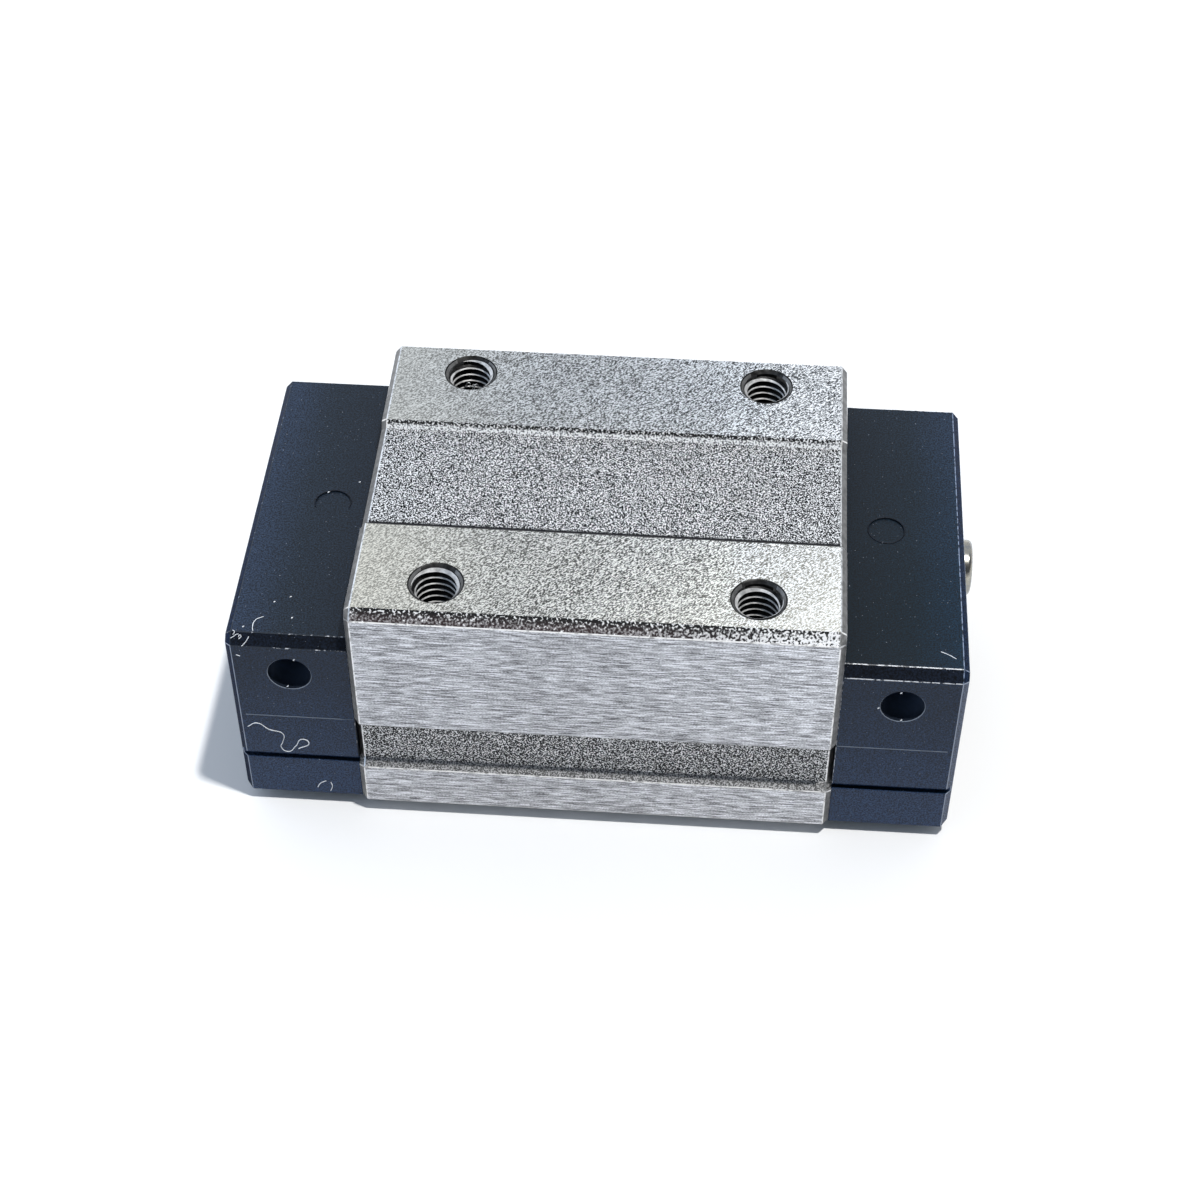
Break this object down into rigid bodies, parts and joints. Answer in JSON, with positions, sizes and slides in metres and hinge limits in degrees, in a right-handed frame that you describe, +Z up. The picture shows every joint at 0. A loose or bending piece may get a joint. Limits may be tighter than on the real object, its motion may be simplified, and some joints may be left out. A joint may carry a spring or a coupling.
{
  "type": "linear guide block",
  "caption": "Narrow linear guide carriage: ground steel block with tapped top holes, black plastic end caps and recirculating ball circuits around a rail channel.",
  "frame": {"origin": "middle of the block, level with the steel underside", "axes": "+X along the rail towards the end with the plug screw, +Y to the rear, +Z up through the mounting face"},
  "size_m": [0.0614, 0.034, 0.0237],
  "materials": {
    "ground_steel": "ground strips and sides, blasted recess and side bands",
    "cap_plastic": "satin moulded, blue-black",
    "seal_rubber": "matt",
    "retainer_plastic": "moulded",
    "guide_plastic": "natural moulded",
    "ball_steel": "polished",
    "bright_screw": "bright turned",
    "black_screw": "black oxide"
  },
  "bodies": {
    "carriage": {"carriage_block": "ground_steel", "left_end_cap": "cap_plastic", "left_end_seal": "seal_rubber", "left_cap_screws": "black_screw", "right_end_cap": "cap_plastic", "right_end_seal": "seal_rubber", "right_cap_screws": "black_screw", "grease_plug_screw": "bright_screw", "port_set_screw": "black_screw", "top_retainer": "retainer_plastic", "front_middle_retainer": "retainer_plastic", "front_lower_retainer": "retainer_plastic", "front_bottom_seal": "seal_rubber", "front_upper_return_tube": "guide_plastic", "front_upper_left_return_guide": "guide_plastic", "front_upper_right_return_guide": "guide_plastic", "front_lower_return_tube": "guide_plastic", "front_lower_left_return_guide": "guide_plastic", "front_lower_right_return_guide": "guide_plastic", "rear_middle_retainer": "retainer_plastic", "rear_lower_retainer": "retainer_plastic", "rear_bottom_seal": "seal_rubber", "rear_upper_return_tube": "guide_plastic", "rear_upper_left_return_guide": "guide_plastic", "rear_upper_right_return_guide": "guide_plastic", "rear_lower_return_tube": "guide_plastic", "rear_lower_left_return_guide": "guide_plastic", "rear_lower_right_return_guide": "guide_plastic"},
    "front_upper_loaded_balls": {"front_upper_loaded_balls": "ball_steel"},
    "front_upper_return_balls": {"front_upper_return_balls": "ball_steel"},
    "front_upper_left_turn_balls": {"front_upper_left_turn_balls": "ball_steel"},
    "front_upper_right_turn_balls": {"front_upper_right_turn_balls": "ball_steel"},
    "front_lower_loaded_balls": {"front_lower_loaded_balls": "ball_steel"},
    "front_lower_return_balls": {"front_lower_return_balls": "ball_steel"},
    "front_lower_left_turn_balls": {"front_lower_left_turn_balls": "ball_steel"},
    "front_lower_right_turn_balls": {"front_lower_right_turn_balls": "ball_steel"},
    "rear_upper_loaded_balls": {"rear_upper_loaded_balls": "ball_steel"},
    "rear_upper_return_balls": {"rear_upper_return_balls": "ball_steel"},
    "rear_upper_left_turn_balls": {"rear_upper_left_turn_balls": "ball_steel"},
    "rear_upper_right_turn_balls": {"rear_upper_right_turn_balls": "ball_steel"},
    "rear_lower_loaded_balls": {"rear_lower_loaded_balls": "ball_steel"},
    "rear_lower_return_balls": {"rear_lower_return_balls": "ball_steel"},
    "rear_lower_left_turn_balls": {"rear_lower_left_turn_balls": "ball_steel"},
    "rear_lower_right_turn_balls": {"rear_lower_right_turn_balls": "ball_steel"}
  },
  "joints": [
    {"name": "front_upper_loaded_roll", "type": "slide", "parent": "carriage", "child": "front_upper_loaded_balls", "axis": [1, 0, 0], "range_m": [-0.00168, 0.00168]},
    {"name": "front_upper_return_roll", "type": "slide", "parent": "carriage", "child": "front_upper_return_balls", "axis": [1, 0, 0], "range_m": [-0.00168, 0.00168]},
    {"name": "front_upper_left_turn_roll", "type": "hinge", "parent": "carriage", "child": "front_upper_left_turn_balls", "pos_m": [-0.0201, -0.00973, 0.01133], "axis": [0, -0.7071, -0.7071], "range_deg": [-30, 30]},
    {"name": "front_upper_right_turn_roll", "type": "hinge", "parent": "carriage", "child": "front_upper_right_turn_balls", "pos_m": [0.0201, -0.00973, 0.01133], "axis": [0, -0.7071, -0.7071], "range_deg": [-30, 30]},
    {"name": "front_lower_loaded_roll", "type": "slide", "parent": "carriage", "child": "front_lower_loaded_balls", "axis": [1, 0, 0], "range_m": [-0.00168, 0.00168]},
    {"name": "front_lower_return_roll", "type": "slide", "parent": "carriage", "child": "front_lower_return_balls", "axis": [1, 0, 0], "range_m": [-0.00168, 0.00168]},
    {"name": "front_lower_left_turn_roll", "type": "hinge", "parent": "carriage", "child": "front_lower_left_turn_balls", "pos_m": [-0.0201, -0.01034, 0.0056], "axis": [0, -0.454, -0.891], "range_deg": [-30, 30]},
    {"name": "front_lower_right_turn_roll", "type": "hinge", "parent": "carriage", "child": "front_lower_right_turn_balls", "pos_m": [0.0201, -0.01034, 0.0056], "axis": [0, -0.454, -0.891], "range_deg": [-30, 30]},
    {"name": "rear_upper_loaded_roll", "type": "slide", "parent": "carriage", "child": "rear_upper_loaded_balls", "axis": [1, 0, 0], "range_m": [-0.00168, 0.00168]},
    {"name": "rear_upper_return_roll", "type": "slide", "parent": "carriage", "child": "rear_upper_return_balls", "axis": [1, 0, 0], "range_m": [-0.00168, 0.00168]},
    {"name": "rear_upper_left_turn_roll", "type": "hinge", "parent": "carriage", "child": "rear_upper_left_turn_balls", "pos_m": [-0.0201, 0.00973, 0.01133], "axis": [0, -0.7071, 0.7071], "range_deg": [-30, 30]},
    {"name": "rear_upper_right_turn_roll", "type": "hinge", "parent": "carriage", "child": "rear_upper_right_turn_balls", "pos_m": [0.0201, 0.00973, 0.01133], "axis": [0, -0.7071, 0.7071], "range_deg": [-30, 30]},
    {"name": "rear_lower_loaded_roll", "type": "slide", "parent": "carriage", "child": "rear_lower_loaded_balls", "axis": [1, 0, 0], "range_m": [-0.00168, 0.00168]},
    {"name": "rear_lower_return_roll", "type": "slide", "parent": "carriage", "child": "rear_lower_return_balls", "axis": [1, 0, 0], "range_m": [-0.00168, 0.00168]},
    {"name": "rear_lower_left_turn_roll", "type": "hinge", "parent": "carriage", "child": "rear_lower_left_turn_balls", "pos_m": [-0.0201, 0.01034, 0.0056], "axis": [0, -0.454, 0.891], "range_deg": [-30, 30]},
    {"name": "rear_lower_right_turn_roll", "type": "hinge", "parent": "carriage", "child": "rear_lower_right_turn_balls", "pos_m": [0.0201, 0.01034, 0.0056], "axis": [0, -0.454, 0.891], "range_deg": [-30, 30]}
  ],
  "couplings": [
    {"joint": "front_upper_return_roll", "follows": "front_upper_loaded_roll", "ratio": -1},
    {"joint": "front_upper_left_turn_roll", "follows": "front_upper_loaded_roll", "rad_per_m": 312.6},
    {"joint": "front_upper_right_turn_roll", "follows": "front_upper_loaded_roll", "rad_per_m": 312.6},
    {"joint": "front_lower_return_roll", "follows": "front_lower_loaded_roll", "ratio": -1},
    {"joint": "front_lower_left_turn_roll", "follows": "front_lower_loaded_roll", "rad_per_m": 312.6},
    {"joint": "front_lower_right_turn_roll", "follows": "front_lower_loaded_roll", "rad_per_m": 312.6},
    {"joint": "rear_upper_return_roll", "follows": "rear_upper_loaded_roll", "ratio": -1},
    {"joint": "rear_upper_left_turn_roll", "follows": "rear_upper_loaded_roll", "rad_per_m": 312.6},
    {"joint": "rear_upper_right_turn_roll", "follows": "rear_upper_loaded_roll", "rad_per_m": 312.6},
    {"joint": "rear_lower_return_roll", "follows": "rear_lower_loaded_roll", "ratio": -1},
    {"joint": "rear_lower_left_turn_roll", "follows": "rear_lower_loaded_roll", "rad_per_m": 312.6},
    {"joint": "rear_lower_right_turn_roll", "follows": "rear_lower_loaded_roll", "rad_per_m": 312.6}
  ]
}
